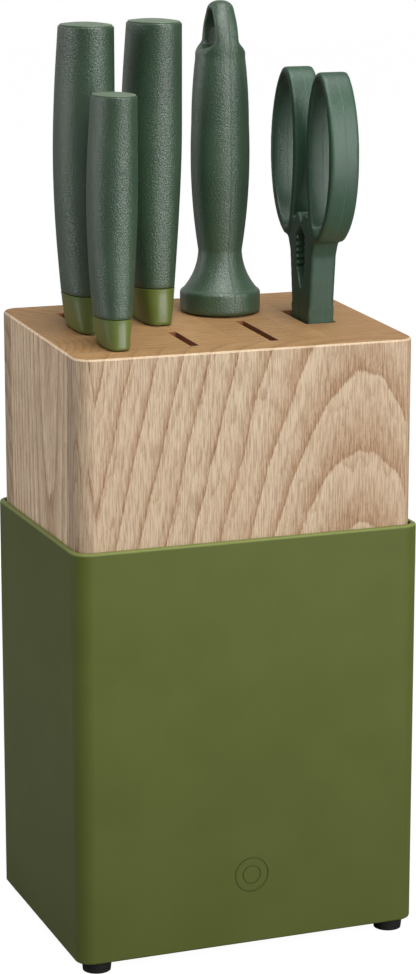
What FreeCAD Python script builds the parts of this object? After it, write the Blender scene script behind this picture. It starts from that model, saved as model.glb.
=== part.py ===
import FreeCAD, Part
import math
import os
import re

import Sketcher
from FreeCAD import Placement, Rotation, Vector

# A free-standing knife block: a moulded shell on four rubber feet carries a glued ash top.
# Three knives, a sharpening steel and a pair of kitchen shears stand upright in the top.
# The frame is centred under the block: +X to the right, -Y to the front, +Z up, feet at Z = 0.

doc = FreeCAD.newDocument("KnifeBlock")
sheet = doc.addObject("Spreadsheet::Sheet", "Sizes")

SIZES = {
    # shell and feet
    "shell_width": 150.0,
    "shell_depth": 110.5,
    "shell_height": 173.0,
    "shell_wall": 2.0,
    "shell_corner": 7.0,
    "shell_edge_round": 0.9,
    "ledge_width": 8.0,
    "ledge_thick": 3.0,
    "boss_reach": 15.0,
    "boss_height": 20.0,
    "plate_thick": 3.0,
    "plate_gap": 0.3,
    "foot_height": 4.6,
    "foot_radius": 6.3,
    "foot_taper": 0.5,
    "foot_inset_x": 9.5,
    "foot_inset_y": 7.2,
    "foot_screw_radius": 1.7,
    "foot_head_radius": 3.2,
    "foot_head_height": 1.8,
    "foot_head_sunk": 0.8,
    "foot_screw_length": 20.0,
    "top_screw_radius": 1.75,
    "top_head_radius": 3.4,
    "top_head_height": 2.2,
    "top_screw_length": 18.0,
    "top_screw_inset": 6.45,
    "screw_clearance": 0.05,
    "badge_radius": 7.6,
    "badge_height": 30.0,
    "badge_line": 0.7,
    "badge_depth": 0.4,
    # wooden top
    "wood_gap": 0.3,
    "wood_corner": 7.5,
    "wood_insert": 14.0,
    "wood_front_height": 77.3,
    "wood_rise": 5.0,
    "edge_ease": 0.7,
    "front_board": 13.5,
    "back_board": 16.5,
    "slot_width": 3.6,
    "slot_left_x": -50.8,
    "slot_middle_x": -18.9,
    "steel_x": 15.7,
    "steel_y": 22.5,
    "steel_stave": 28.0,
    "short_slot": 27.0,
    "long_slot": 39.7,
    "shears_x": 47.2,
    "shears_y": -3.9,
    "shears_slot_width": 13.7,
    "shears_slot_front": 9.6,
    "shears_slot_back": 19.0,
    "seat_gap": 0.4,
    # knife handles, as half thickness, half depth and forward lean at each height
    "ferrule_height": 15.0,
    "ferrule_foot_thick": 6.0,
    "ferrule_foot_depth": 13.6,
    "seam_thick": 8.3,
    "seam_depth": 14.0,
    "seam_lean": -0.5,
    "low_height": 44.0,
    "low_thick": 10.8,
    "low_depth": 15.0,
    "low_lean": -0.6,
    "belly_height": 70.0,
    "belly_thick": 11.9,
    "belly_depth": 15.4,
    "belly_lean": 0.3,
    "upper_height": 96.0,
    "upper_thick": 11.6,
    "upper_depth": 15.3,
    "upper_lean": 1.8,
    "end_height": 123.0,
    "end_thick": 10.6,
    "end_depth": 14.8,
    "end_lean": 4.6,
    "cap_height": 1.4,
    "cap_inset": 0.5,
    "cap_slope": 1.3,
    "tang_clearance": 0.1,
    # chef's knife
    "chef_scale": 1.0,
    "chef_y": 3.4,
    "chef_length": 200.0,
    "chef_spine": 10.5,
    "chef_edge": 32.0,
    "chef_straight": 95.0,
    "chef_neck": 12.0,
    "chef_thick": 2.2,
    "chef_tang": 78.0,
    "chef_tang_half": 5.5,
    # slicing knife
    "slicer_scale": 1.0,
    "slicer_y": 12.0,
    "slicer_length": 180.0,
    "slicer_spine": 10.0,
    "slicer_edge": 18.0,
    "slicer_straight": 105.0,
    "slicer_neck": 12.0,
    "slicer_thick": 2.0,
    "slicer_tang": 78.0,
    "slicer_tang_half": 5.5,
    # paring knife
    "paring_scale": 0.81,
    "paring_y": -31.6,
    "paring_length": 100.0,
    "paring_spine": 6.5,
    "paring_edge": 11.5,
    "paring_straight": 55.0,
    "paring_neck": 9.6,
    "paring_thick": 1.6,
    "paring_tang": 60.0,
    "paring_tang_half": 4.0,
    "edge_thick": 0.3,
    "heel_drop": 3.0,
    "neck_gap": 0.05,
    "blade_play": 1.4,
    # sharpening steel
    "rod_radius": 4.8,
    "rod_floor_gap": 22.0,
    "rod_tip": 2.5,
    "rod_grip": 62.0,
    "rod_end_gap": 1.0,
    "bore_radius": 6.5,
    "guard_radius": 17.0,
    "guard_height": 8.4,
    "guard_round": 1.6,
    "neck_radius": 9.2,
    "neck_height": 26.0,
    "swell_radius": 12.1,
    "swell_height": 79.0,
    "shoulder_radius": 10.4,
    "shoulder_height": 107.0,
    "crown_radius": 6.4,
    "crown_drop": 4.6,
    "crown_flat": 1.5,
    "crown_arc": 6.0,
    "shoulder_arc": 28.0,
    "swell_arc": 240.0,
    "neck_arc": 260.0,
    "flare_arc": 26.0,
    "guard_edge": 1.5,
    "steel_top": 130.0,
    "eye_half_thick": 4.9,
    "eye_ledge": 108.5,
    "eye_ledge_rise": 4.6,
    "eye_bottom": 111.5,
    "eye_half_width": 6.3,
    "eye_height": 15.0,
    "eye_sill": 1.6,
    "eye_arch_half": 2.4,
    "eye_arch_drop": 0.8,
    # kitchen shears, heights above the pivot
    "pivot_drop": 18.0,
    "loop_half_thick": 6.4,
    "loop_centre_y": 18.7,
    "loop_centre_height": 87.0,
    "loop_half_width": 14.3,
    "loop_half_height": 35.0,
    "loop_band": 3.6,
    "loop_foot_shift": 2.5,
    "shaft_half_thick": 5.8,
    "shaft_foot": 9.0,
    "shaft_foot_outer": 8.4,
    "shaft_top_outer": 13.5,
    "shaft_gap": 0.3,
    "jaw_low": 35.0,
    "jaw_high": 57.0,
    "jaw_depth": 3.4,
    "tooth_pitch": 2.6,
    "tooth_depth": 1.0,
    "shears_blade_thick": 2.2,
    "shears_blade_length": 69.0,
    "shears_tip_gap": 0.4,
    "shears_blade_half": 6.4,
    "shears_boss": 7.8,
    "shears_tang_top": 48.0,
    "tang_root": 3.0,
    "tang_root_inner": 1.2,
    "tang_root_outer": 6.2,
    "tang_top_inner": 3.2,
    "tang_top_outer": 7.2,
    "pivot_radius": 2.6,
    "pivot_clearance": 0.05,
    "pivot_head_radius": 4.6,
    "pivot_head_height": 1.8,
    "blade_gap": 0.1,
}

# Lengths that follow from the driving sizes.
DERIVED = {
    "shell_bottom": "foot_height",
    "shell_top": "foot_height + shell_height",
    "inner_width": "shell_width - 2 * shell_wall",
    "inner_depth": "shell_depth - 2 * shell_wall",
    "inner_corner": "shell_corner - shell_wall",
    "plate_top": "shell_bottom + plate_thick",
    "boss_top": "plate_top + boss_height",
    "wood_width": "inner_width - 2 * wood_gap",
    "wood_depth": "inner_depth - 2 * wood_gap",
    "wood_bottom": "shell_top - wood_insert",
    "wood_front_top": "shell_top + wood_front_height",
    "ledge_bottom": "wood_bottom - ledge_thick",
    "wood_left": "0 - wood_width / 2",
    "wood_right": "wood_width / 2",
    "wood_front": "0 - wood_depth / 2",
    "wood_back": "wood_depth / 2",
    "front_face": "wood_front + front_board",
    "back_face": "wood_back - back_board",
    "slot_half": "slot_width / 2",
    "steel_left": "steel_x - steel_stave / 2",
    "steel_right": "steel_x + steel_stave / 2",
    "shears_left": "shears_x - shears_slot_width / 2",
    "shears_right": "shears_x + shears_slot_width / 2",
    "shears_front": "shears_y - shears_slot_front",
    "shears_back": "shears_y + shears_slot_back",
    "paring_slot_end": "paring_y + paring_edge + blade_play",
    "chef_slot_start": "chef_y - chef_spine - blade_play",
    "slicer_slot_start": "slicer_y - slicer_spine - blade_play",
    "long_slot_end": "front_face + long_slot",
    "short_slot_end": "front_face + short_slot",
    "top_screw_x": "inner_width / 2 - ledge_width / 2",
    "top_screw_front": "front_face + top_screw_inset",
    "top_screw_back": "back_face - top_screw_inset",
    "slope": "atan(wood_rise / wood_depth)",
    "steel_seat": "wood_front_top + (steel_y - wood_front) * wood_rise / wood_depth",
    "shears_seat": "wood_front_top + (shears_y - wood_front) * wood_rise / wood_depth",
    "pivot_height": "shears_seat - pivot_drop",
    "shears_floor_top": "pivot_height - shears_blade_length - shears_tip_gap",
    "rod_length": "steel_seat - plate_top - rod_floor_gap",
    "foot_x": "shell_width / 2 - foot_inset_x",
    "foot_y": "shell_depth / 2 - foot_inset_y",
}

exports = []


def fill_sheet():
    """Writes every driving size into the sheet, with its name beside it."""
    for row, (name, value) in enumerate(SIZES.items(), start=1):
        sheet.set(f"A{row}", name)
        sheet.set(f"B{row}", str(value))
        sheet.setAlias(f"B{row}", name)
    doc.recompute()


def bound(text):
    """Turns a formula in plain names into one that reads the sheet."""

    def replace(match):
        name = match.group(0)
        if name in DERIVED:
            return "(" + bound(DERIVED[name]) + ")"
        return "Sizes." + name if name in SIZES else name

    return re.sub(r"[a-z][a-z_]+[a-z]", replace, str(text))


def number(text):
    """The present value of a formula, for choosing edges and first sketch positions."""
    return float(sheet.evalExpression(bound(text)))


def top_at(along):
    """Formula for the height of the sloping wooden top at a place along Y."""
    return f"(wood_front_top + (({along}) - wood_front) * wood_rise / wood_depth)"


def make_body(label):
    body = doc.addObject("PartDesign::Body", label)
    body.Label = label
    return body


def keep(item):
    exports.append(item)
    return item


def place(item, across="0", along="0", height="0"):
    """Binds a sub-part's placement to the sheet."""
    item.setExpression("Placement.Base.x", bound(across))
    item.setExpression("Placement.Base.y", bound(along))
    item.setExpression("Placement.Base.z", bound(height))


def new_sketch(body, name, plane, offset):
    sketch = body.newObject("Sketcher::SketchObject", name)
    origin_plane = [f for f in body.Origin.OriginFeatures if f.Role == plane][0]
    sketch.AttachmentSupport = (origin_plane, "")
    sketch.MapMode = "FlatFace"
    sketch.setExpression("AttachmentOffset.Base.z", bound(offset))
    return sketch


def constrain(sketch, kind, geometry, point, text, title):
    """Ties a sketch point's distance from the origin to a formula."""
    place_now = sketch.getPoint(geometry, point)
    value = place_now.x if kind == "DistanceX" else place_now.y
    index = sketch.addConstraint(Sketcher.Constraint(kind, -1, 1, geometry, point, value))
    sketch.renameConstraint(index, title)
    sketch.setExpression(f"Constraints.{title}", bound(text))


def outline(body, name, plane, corners, offset="0"):
    """A closed sketch of lines. A corner that ends in "arc" starts an arc that is
    tangent to the line before it; one that ends in a radius starts an arc of that
    radius, which bulges to the right of its chord, or to the left if it is negative."""
    sketch = new_sketch(body, name, plane, offset)
    points = [Vector(number(c[0]), number(c[1]), 0) for c in corners]
    ends = []
    for i, corner in enumerate(corners):
        start, end = points[i], points[(i + 1) % len(points)]
        if len(corner) == 2:
            sketch.addGeometry(Part.LineSegment(start, end))
        else:
            sketch.addGeometry(arc_between(points[i - 1], start, end, corner[2]))
        first = sketch.getPoint(i, 1)
        ends.append((1, 2) if first.distanceToPoint(start) < 1e-6 else (2, 1))
    for i, corner in enumerate(corners):
        before = i - 1 if i else len(corners) - 1
        kind = "Tangent" if len(corner) == 3 and corner[2] == "arc" else "Coincident"
        sketch.addConstraint(Sketcher.Constraint(kind, before, ends[before][1], i, ends[i][0]))
    for i, corner in enumerate(corners):
        constrain(sketch, "DistanceX", i, ends[i][0], corner[0], f"across_{i}")
        constrain(sketch, "DistanceY", i, ends[i][0], corner[1], f"along_{i}")
        if len(corner) == 3 and corner[2] != "arc":
            radius = corner[2].lstrip("-")
            index = sketch.addConstraint(Sketcher.Constraint("Radius", i, number(radius)))
            sketch.renameConstraint(index, f"radius_{i}")
            sketch.setExpression(f"Constraints.radius_{i}", bound(radius))
    return sketch


def arc_between(before, start, end, how):
    """The first position of an arc from start to end."""
    chord = end - start
    right = Vector(chord.y, -chord.x, 0).normalize()
    if how == "arc":
        heading = (start - before).normalize()
        normal = Vector(-heading.y, heading.x, 0)
        reach = chord.dot(chord) / (2 * chord.dot(normal))
        centre = start + normal * reach
        radius = abs(reach)
        side = right if (start + chord * 0.5 - centre).dot(right) > 0 else right * -1
    else:
        radius = number(how.lstrip("-"))
        side = right * -1 if how.startswith("-") else right
        rise = math.sqrt(radius**2 - (chord.Length / 2) ** 2)
        centre = start + chord * 0.5 - side * rise
    return Part.Arc(start, centre + side * radius, end)


def round_sketch(body, name, across, along, radius, offset, plane="XY_Plane"):
    sketch = new_sketch(body, name, plane, offset)
    centre = Vector(number(across), number(along), 0)
    sketch.addGeometry(Part.Circle(centre, Vector(0, 0, 1), number(radius)))
    constrain(sketch, "DistanceX", 0, 3, across, "across")
    constrain(sketch, "DistanceY", 0, 3, along, "along")
    index = sketch.addConstraint(Sketcher.Constraint("Radius", 0, number(radius)))
    sketch.renameConstraint(index, "radius")
    sketch.setExpression("Constraints.radius", bound(radius))
    return sketch


def rounded_sketch(body, name, width, depth, radius, offset):
    """A rounded rectangle about the origin, drawn as eight tangent pieces."""
    w, d, r = number(width) / 2, number(depth) / 2, number(radius)
    sketch = new_sketch(body, name, "XY_Plane", offset)
    up = Vector(0, 0, 1)
    turns = [(w - r, -d + r, -90), (w - r, d - r, 0), (-w + r, d - r, 90), (-w + r, -d + r, 180)]
    lines = [
        (Vector(-w + r, -d, 0), Vector(w - r, -d, 0)),
        (Vector(w, -d + r, 0), Vector(w, d - r, 0)),
        (Vector(w - r, d, 0), Vector(-w + r, d, 0)),
        (Vector(-w, d - r, 0), Vector(-w, -d + r, 0)),
    ]
    for line, (x, y, angle) in zip(lines, turns):
        sketch.addGeometry(Part.LineSegment(*line))
        circle = Part.Circle(Vector(x, y, 0), up, r)
        first = math.radians(angle)
        sketch.addGeometry(Part.ArcOfCircle(circle, first, first + math.pi / 2))
    for i in range(8):
        sketch.addConstraint(Sketcher.Constraint("Tangent", i, 2, (i + 1) % 8, 1))
    sketch.addConstraint(Sketcher.Constraint("Symmetric", 0, 1, 0, 2, -2))
    sketch.addConstraint(Sketcher.Constraint("Symmetric", 2, 1, 2, 2, -1))
    sketch.addConstraint(Sketcher.Constraint("Equal", 1, 3))
    sketch.addConstraint(Sketcher.Constraint("Equal", 3, 5))
    sketch.addConstraint(Sketcher.Constraint("Equal", 5, 7))
    named = [
        ("Radius", (1, r), "radius", radius),
        ("DistanceX", (-1, 1, 2, 1, w), "half_width", f"({width}) / 2"),
        ("DistanceY", (-1, 1, 4, 1, d), "half_depth", f"({depth}) / 2"),
    ]
    for kind, values, title, text in named:
        index = sketch.addConstraint(Sketcher.Constraint(kind, *values))
        sketch.renameConstraint(index, title)
        sketch.setExpression(f"Constraints.{title}", bound(text))
    return sketch


def pad(body, sketch, length, name):
    feature = body.newObject("PartDesign::Pad", name)
    feature.Profile = sketch
    feature.setExpression("Length", bound(length))
    sketch.Visibility = False
    doc.recompute()
    return feature


def pocket(body, sketch, length, name, towards_normal=True):
    """Cuts along the sketch's normal, and refuses a cut that removes nothing."""
    before = body.Shape.Volume
    feature = body.newObject("PartDesign::Pocket", name)
    feature.Profile = sketch
    feature.Reversed = towards_normal
    feature.setExpression("Length", bound(length))
    doc.recompute()
    if body.Shape.Volume > before - 1e-6:
        raise RuntimeError(f"{name} cuts nothing from {body.Label}")
    return feature


def revolve(body, sketch, name):
    feature = body.newObject("PartDesign::Revolution", name)
    feature.Profile = sketch
    feature.ReferenceAxis = (sketch, ["V_Axis"])
    feature.Angle = 360
    doc.recompute()
    return feature


def edge_names(shape, wanted):
    return [f"Edge{i}" for i, edge in enumerate(shape.Edges, start=1) if wanted(edge)]


def is_upright(edge):
    return edge.BoundBox.XLength < 1e-6 and edge.BoundBox.YLength < 1e-6


def dress(body, kind, wanted, size_name, size, name):
    """Adds a Fillet or a Chamfer on the edges that are wanted."""
    base = body.Tip
    feature = body.newObject(f"PartDesign::{kind}", name)
    feature.Base = (base, edge_names(base.Shape, wanted))
    feature.setExpression(size_name, bound(size))
    doc.recompute()
    return feature


def cylinder(name, radius, height, across="0", along="0", base="0"):
    item = doc.addObject("Part::Cylinder", name)
    item.setExpression("Radius", bound(radius))
    item.setExpression("Height", bound(height))
    place(item, across, along, base)
    return item


def block(name, low, high):
    """A Part::Box between two corners given as formulas."""
    item = doc.addObject("Part::Box", name)
    for side, start, end in zip(("Length", "Width", "Height"), low, high):
        item.setExpression(side, bound(f"({end}) - ({start})"))
    place(item, *low)
    return item


def join(kind, name, first, second):
    """A Part::Cut, Part::Fuse or Part::Common of two objects."""
    item = doc.addObject(f"Part::{kind}", name)
    item.Base = first
    item.Tool = second
    return item


def group(label, items):
    item = doc.addObject("Part::Compound", label)
    item.Label = label
    item.Links = items
    return item


# ---------------------------------------------------------------- shell, plate and feet


def make_shell():
    """The moulded shell: four walls, an inner ledge for the top and four corner bosses."""
    body = make_body("shell")
    outer = rounded_sketch(
        body, "shell_outer", "shell_width", "shell_depth", "shell_corner", "shell_bottom"
    )
    pad(body, outer, "shell_height", "shell_block")
    bottom, top = number("shell_bottom"), number("shell_top")

    def rim(edge):
        box = edge.BoundBox
        return box.ZLength < 1e-6 and (abs(box.ZMin - top) < 1e-6 or abs(box.ZMin - bottom) < 1e-6)

    dress(body, "Fillet", rim, "Radius", "shell_edge_round", "shell_rim_round")
    inner = ("inner_width", "inner_depth", "inner_corner")
    mouth = rounded_sketch(body, "shell_mouth", *inner, "wood_bottom")
    pocket(body, mouth, "wood_insert", "shell_mouth_cut")
    ledge_sizes = ("inner_width - 2 * ledge_width", "inner_depth - 2 * ledge_width", "inner_corner")
    ledge = rounded_sketch(body, "ledge_opening", *ledge_sizes, "ledge_bottom")
    pocket(body, ledge, "ledge_thick", "ledge_cut")
    hollow = rounded_sketch(body, "shell_hollow", *inner, "boss_top")
    pocket(body, hollow, "ledge_bottom - boss_top", "shell_hollow_cut")
    reach_x = "(inner_width / 2 - boss_reach)"
    reach_y = "(inner_depth / 2 - boss_reach)"
    cross = [
        (f"0 - {reach_x}", "0 - inner_depth / 2"),
        (reach_x, "0 - inner_depth / 2"),
        (reach_x, f"0 - {reach_y}"),
        ("inner_width / 2", f"0 - {reach_y}"),
        ("inner_width / 2", reach_y),
        (reach_x, reach_y),
        (reach_x, "inner_depth / 2"),
        (f"0 - {reach_x}", "inner_depth / 2"),
        (f"0 - {reach_x}", reach_y),
        ("0 - inner_width / 2", reach_y),
        ("0 - inner_width / 2", f"0 - {reach_y}"),
        (f"0 - {reach_x}", f"0 - {reach_y}"),
    ]
    lower = outline(body, "shell_between_bosses", "XY_Plane", cross, "plate_top")
    pocket(body, lower, "boss_height", "shell_between_cut")
    seat = rounded_sketch(body, "plate_seat", *inner, "shell_bottom")
    pocket(body, seat, "plate_thick", "plate_seat_cut")
    for name, x, y in corners():
        hole = round_sketch(
            body, f"boss_hole_{name}", x, y, "foot_screw_radius + screw_clearance", "plate_top"
        )
        pocket(body, hole, "foot_screw_length", f"boss_hole_cut_{name}")
    for name, x, y in top_screw_places():
        hole = round_sketch(
            body, f"ledge_hole_{name}", x, y, "top_screw_radius + screw_clearance", "ledge_bottom"
        )
        pocket(body, hole, "ledge_thick", f"ledge_hole_cut_{name}")
    make_badge(body)
    return keep(body)


def make_badge(body):
    """A plain pressed ring with a smaller ring inside it, low on the front wall."""
    height = "(shell_bottom + badge_height)"
    for name, share in (("outer", "1"), ("inner", "0.55")):
        rim = f"badge_radius * {share}"
        sketch = round_sketch(
            body, f"badge_{name}", "0", height, rim, "shell_depth / 2 - badge_depth", "XZ_Plane"
        )
        circle = Part.Circle(Vector(0, number(height), 0), Vector(0, 0, 1), number(rim) - 1)
        sketch.addGeometry(circle)
        sketch.addConstraint(Sketcher.Constraint("Coincident", 0, 3, 1, 3))
        inner = number(f"{rim} - badge_line")
        index = sketch.addConstraint(Sketcher.Constraint("Radius", 1, inner))
        sketch.renameConstraint(index, "inner_radius")
        sketch.setExpression("Constraints.inner_radius", bound(f"{rim} - badge_line"))
        pocket(body, sketch, "badge_depth", f"badge_cut_{name}")


def corners():
    """The four feet: a name and the formulas of its centre."""
    sides = [("left", "(0 - foot_x)"), ("right", "foot_x")]
    ends = [("front", "(0 - foot_y)"), ("back", "foot_y")]
    return [(f"{end}_{side}", x, y) for end, y in ends for side, x in sides]


def top_screw_places():
    sides = [("left", "(0 - top_screw_x)"), ("right", "top_screw_x")]
    ends = [("front", "top_screw_front"), ("back", "top_screw_back")]
    return [(f"{end}_{side}", x, y) for end, y in ends for side, x in sides]


def make_base_plate():
    body = make_body("base_plate")
    sketch = rounded_sketch(
        body,
        "plate_outline",
        "inner_width - 2 * plate_gap",
        "inner_depth - 2 * plate_gap",
        "inner_corner",
        "shell_bottom",
    )
    pad(body, sketch, "plate_thick", "plate_sheet")
    for name, x, y in corners():
        hole = round_sketch(
            body, f"plate_hole_{name}", x, y, "foot_screw_radius + screw_clearance", "shell_bottom"
        )
        pocket(body, hole, "plate_thick", f"plate_hole_cut_{name}")
    return keep(body)


def make_foot(name, x, y):
    """A round rubber foot with a sunk hole for its screw."""
    body = make_body(f"foot_{name}")
    head = "(foot_head_radius + 0.1)"
    head_top = "(foot_head_sunk + foot_head_height)"
    hole = "(foot_screw_radius + screw_clearance)"
    profile = [
        (head, "0"),
        ("foot_radius - foot_taper", "0"),
        ("foot_radius", "foot_height"),
        (hole, "foot_height"),
        (hole, head_top),
        (head, head_top),
    ]
    sketch = outline(body, f"foot_profile_{name}", "XZ_Plane", profile)
    revolve(body, sketch, f"foot_turn_{name}")
    place(body, x, y)
    return keep(body)


def make_foot_screws():
    screws = []
    for name, x, y in corners():
        head = cylinder(
            f"foot_head_{name}", "foot_head_radius", "foot_head_height", x, y, "foot_head_sunk"
        )
        head_top = "foot_head_sunk + foot_head_height"
        shank = cylinder(
            f"foot_shank_{name}", "foot_screw_radius", "foot_screw_length", x, y, head_top
        )
        screws.append(join("Fuse", f"foot_screw_{name}", head, shank))
    return keep(group("foot_screws", screws))


def make_top_screws():
    """Four wood screws under the ledge, which hold the wooden top down."""
    screws = []
    for name, x, y in top_screw_places():
        head_base = "ledge_bottom - top_head_height"
        head = cylinder(f"top_head_{name}", "top_head_radius", "top_head_height", x, y, head_base)
        shank = cylinder(
            f"top_shank_{name}", "top_screw_radius", "top_screw_length", x, y, "ledge_bottom"
        )
        screws.append(join("Fuse", f"top_screw_{name}", head, shank))
    return keep(group("top_screws", screws))


# ---------------------------------------------------------------- glued wooden top


def make_stave(label, left, right, front, back, round_sides=(), ease_skip=None, level=None):
    """One glued piece of the top, from its side profile, with outer corners rounded.

    round_sides holds pairs such as ("left", "front"). ease_skip names the sides
    whose top edges meet another piece; None leaves every edge sharp. level is the
    height of a piece that ends below the sloping top."""
    body = make_body(label)
    profile = [
        (front, "wood_bottom"),
        (back, "wood_bottom"),
        (back, level or top_at(back)),
        (front, level or top_at(front)),
    ]
    sketch = outline(body, f"{label}_profile", "YZ_Plane", profile, left)
    pad(body, sketch, f"({right}) - ({left})", f"{label}_board")
    box = body.Shape.BoundBox
    spots = {"left": box.XMin, "right": box.XMax, "front": box.YMin, "back": box.YMax}

    def outer_corner(edge):
        middle = edge.BoundBox.Center
        return is_upright(edge) and any(
            abs(middle.x - spots[side]) < 1e-6 and abs(middle.y - spots[end]) < 1e-6
            for side, end in round_sides
        )

    if round_sides:
        dress(body, "Fillet", outer_corner, "Radius", "wood_corner", f"{label}_corner")
    if ease_skip is not None:
        middle_height = box.Center.z

        def outer_top(edge):
            place_box = edge.BoundBox
            if place_box.ZLength > box.ZLength / 2 or place_box.Center.z < middle_height:
                return False
            inner = {
                "left": place_box.XMax < box.XMin + 1e-6,
                "right": place_box.XMin > box.XMax - 1e-6,
                "front": place_box.YMax < box.YMin + 1e-6,
                "back": place_box.YMin > box.YMax - 1e-6,
            }
            return not any(inner[side] for side in ease_skip)

        dress(body, "Chamfer", outer_top, "Size", "edge_ease", f"{label}_ease")
    return body


def make_wood():
    """Boards and strips with open slots left between them, glued into one block."""
    strip = ("front_face", "back_face")
    slot_1 = ("slot_left_x - slot_half", "slot_left_x + slot_half")
    slot_2 = ("slot_middle_x - slot_half", "slot_middle_x + slot_half")
    slot_3 = ("steel_x - slot_half", "steel_x + slot_half")
    ends = [("left", "front"), ("right", "front")]
    full = ("wood_left", "wood_right")
    keep(make_stave("wood_front_board", *full, "wood_front", "front_face", ends, ["back"]))
    ends = [("left", "back"), ("right", "back")]
    keep(make_stave("wood_back_board", *full, "back_face", "wood_back", ends, ["front"]))
    inner = ["front", "back", "right"]
    left = make_stave("wood_stave_left", "wood_left", slot_1[0], *strip, (), inner)
    drill_top_screws(left, "left")
    inner = ["front", "back", "left"]
    right = make_stave("wood_stave_right", "shears_right", "wood_right", *strip, (), inner)
    drill_top_screws(right, "right")
    keep(left)
    keep(right)
    keep(make_stave("wood_stave_second", slot_1[1], slot_2[0], *strip))
    keep(make_stave("wood_stave_third", slot_2[1], "steel_left", *strip))
    front = ("front_face", "long_slot_end")
    keep(make_stave("wood_slot_side_left", "steel_left", slot_3[0], *front))
    keep(make_stave("wood_slot_side_right", slot_3[1], "steel_right", *front))
    keep(make_stave("wood_stave_fourth", "steel_right", "shears_left", *strip))
    keep(make_stave("slot_divider_left", *slot_1, "paring_slot_end", "chef_slot_start"))
    keep(make_stave("slot_divider_middle", *slot_2, "short_slot_end", "slicer_slot_start"))
    shears = ("shears_left", "shears_right")
    keep(make_stave("shears_slot_front_block", *shears, "front_face", "shears_front"))
    keep(make_stave("shears_slot_back_block", *shears, "shears_back", "back_face"))
    hole = ("shears_front", "shears_back")
    keep(make_stave("shears_slot_floor", *shears, *hole, level="shears_floor_top"))
    bored = make_stave("wood_steel_stave", "steel_left", "steel_right", "long_slot_end", "back_face")
    bore = round_sketch(bored, "steel_bore", "steel_x", "steel_y", "bore_radius", "wood_bottom")
    pocket(bored, bore, "wood_front_height + wood_insert + wood_rise", "steel_bore_cut")
    keep(bored)


def drill_top_screws(body, side):
    for name, x, y in top_screw_places():
        if name.endswith(side):
            hole = round_sketch(
                body,
                f"pilot_{name}",
                x,
                y,
                "top_screw_radius + screw_clearance",
                "wood_bottom",
            )
            pocket(body, hole, "top_screw_length - ledge_thick", f"pilot_cut_{name}")


# ---------------------------------------------------------------- knives


def oval(name, thick, depth, x, y, height):
    """One oval section, long across the block's depth."""
    item = doc.addObject("Part::Ellipse", name)
    item.setExpression("MajorRadius", bound(depth))
    item.setExpression("MinorRadius", bound(thick))
    item.Placement = Placement(Vector(), Rotation(Vector(0, 0, 1), 90))
    place(item, x, y, height)
    return item


def loft(name, sections):
    item = doc.addObject("Part::Loft", name)
    item.Sections = sections
    item.Solid = True
    item.Ruled = False
    for section in sections:
        section.Visibility = False
    return item


def slope_tool(name, x, y, size):
    """A block whose upper face lies the seat gap above the sloping top."""
    item = doc.addObject("Part::Box", name)
    item.setExpression("Length", bound(size))
    item.setExpression("Width", bound(size))
    item.setExpression("Height", bound("10"))
    item.Placement = Placement(Vector(), Rotation(Vector(1, 0, 0), 1))
    item.setExpression("Placement.Rotation.Angle", bound("slope"))
    half = f"(({size}) / 2)"
    down = "(10 - seat_gap)"
    along = f"({y}) - {half} * cos(slope) + {down} * sin(slope)"
    height = f"{top_at(y)} - {half} * sin(slope) - {down} * cos(slope)"
    place(item, f"({x}) - {half}", along, height)
    return item


def make_handle(knife, x):
    """Ferrule, grip and end cap of one knife, as ovals stacked along a leaning line."""
    y = f"{knife}_y"
    base = top_at(y)
    scale = f"{knife}_scale"

    def station(name, part, thick, depth, lean, height):
        along = f"{y} - ({lean}) * {scale}"
        return oval(
            f"{knife}_{part}_{name}",
            f"({thick}) * {scale}",
            f"({depth}) * {scale}",
            x,
            along,
            f"{base} + ({height}) * {scale}",
        )

    foot_slope = "((seam_thick - ferrule_foot_thick) / ferrule_height)"
    ferrule = loft(
        f"{knife}_ferrule_loft",
        [
            station(
                "foot",
                "ferrule",
                f"ferrule_foot_thick - 2 * {foot_slope}",
                "ferrule_foot_depth",
                "0",
                "-2",
            ),
            station("seam", "ferrule", "seam_thick", "seam_depth", "seam_lean", "ferrule_height"),
        ],
    )
    names = ["seam", "low", "belly", "upper", "end"]
    heights = ["ferrule_height"] + [f"{name}_height" for name in names[1:]]
    grip = loft(
        f"{knife}_grip_loft",
        [
            station(name, "grip", f"{name}_thick", f"{name}_depth", f"{name}_lean", height)
            for name, height in zip(names, heights)
        ],
    )
    cap = loft(
        f"{knife}_cap_loft",
        [
            station(
                "low",
                "cap",
                "end_thick - cap_inset",
                "end_depth - cap_inset",
                "end_lean",
                "end_height",
            ),
            station(
                "high",
                "cap",
                "end_thick - cap_slope",
                "end_depth - cap_slope",
                "end_lean",
                "end_height + cap_height",
            ),
        ],
    )
    cap.Label = f"{knife}_end_cap"
    tang = tang_space(knife, x)
    seat = slope_tool(f"{knife}_seat", x, y, "60")
    sloped = join("Cut", f"{knife}_ferrule_sloped", ferrule, seat)
    ferrule_cut = join("Cut", f"{knife}_ferrule", sloped, tang)
    grip_cut = join("Cut", f"{knife}_grip", grip, tang)
    keep(ferrule_cut)
    keep(grip_cut)
    keep(cap)


def tang_space(knife, x):
    """The space that the tang needs inside the handle, with clearance all round."""
    half = f"({knife}_thick / 2 + tang_clearance)"
    reach = f"({knife}_tang_half + tang_clearance)"
    low = (f"({x}) - {half}", f"{knife}_y - {reach}", f"{top_at(f'{knife}_y')} - 5")
    top = f"{top_at(f'{knife}_y')} + {knife}_tang + tang_clearance"
    high = (f"({x}) + {half}", f"{knife}_y + {reach}", top)
    return block(f"{knife}_tang_space", low, high)


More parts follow.
